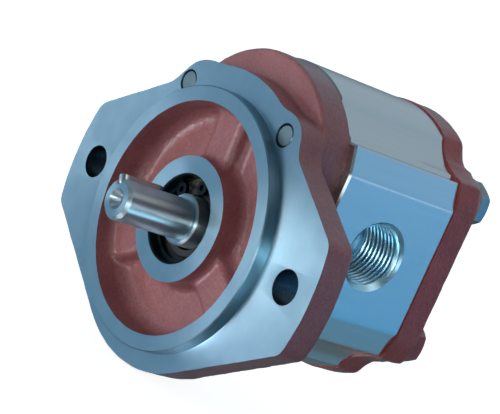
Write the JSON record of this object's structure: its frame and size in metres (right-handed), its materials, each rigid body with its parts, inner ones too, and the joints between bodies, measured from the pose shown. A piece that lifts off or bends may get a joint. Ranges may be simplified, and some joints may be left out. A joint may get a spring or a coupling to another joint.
{
  "type": "hydraulic gear pump",
  "caption": "External gear pump with a two-bolt pilot flange, a keyed drive shaft and a threaded port on each side.",
  "frame": {"origin": "centre of the pilot, in the plane of the mounting face", "axes": "-Y along the drive shaft, away from the pump; +X towards the right-hand port, along the line of the two flange holes; +Z from the drive shaft towards the driven gear"},
  "size_m": [0.13, 0.1108, 0.106],
  "materials": {
    "painted_iron": "red oxide gloss paint over sand-cast iron, with bare turned faces",
    "body_aluminium": "milled aluminium extrusion with fine lengthwise lines",
    "ground_steel": "ground and polished",
    "key_steel": "bright drawn",
    "spring_steel": "dark phosphated",
    "seal_case_steel": "pressed sheet, lightly oiled",
    "seal_rubber": "moulded nitrile rubber",
    "bolt_steel": "blackened, lightly oiled",
    "washer_steel": "plain, lightly oiled",
    "bushing_bronze": "machined bearing alloy",
    "liner_bronze": "bronze-backed plain bearing",
    "backup_plastic": "moulded"
  },
  "bodies": {
    "housing": {"front_cover": "painted_iron", "pump_body": "body_aluminium", "rear_cover": "painted_iron", "bushing_front_drive": "bushing_bronze", "bushing_front_driven": "bushing_bronze", "bushing_rear_drive": "bushing_bronze", "bushing_rear_driven": "bushing_bronze", "bearing_liner_front_drive": "liner_bronze", "bearing_liner_front_driven": "liner_bronze", "bearing_liner_rear_drive": "liner_bronze", "bearing_liner_rear_driven": "liner_bronze", "body_seal_front": "seal_rubber", "body_seal_rear": "seal_rubber", "pressure_seal_front": "seal_rubber", "pressure_seal_rear": "seal_rubber", "backup_ring_front": "backup_plastic", "backup_ring_rear": "backup_plastic", "shaft_seal_case": "seal_case_steel", "shaft_seal_lip": "seal_rubber", "shaft_seal_spring": "spring_steel", "seal_retaining_ring": "spring_steel", "front_dowels": "ground_steel", "rear_dowels": "ground_steel", "tie_bolts": "bolt_steel", "bolt_washers": "washer_steel"},
    "drive": {"drive_gear_shaft": "ground_steel", "shaft_key": "key_steel"},
    "driven": {"driven_gear_shaft": "ground_steel"}
  },
  "joints": [
    {"name": "drive_spin", "type": "hinge", "parent": "housing", "child": "drive", "pos_m": [0, 0, 0], "axis": [0, 1, 0], "continuous": true},
    {"name": "driven_spin", "type": "hinge", "parent": "housing", "child": "driven", "pos_m": [0, 0, 0.027], "axis": [0, 1, 0], "continuous": true}
  ],
  "couplings": [
    {"joint": "driven_spin", "follows": "drive_spin", "ratio": -1}
  ]
}
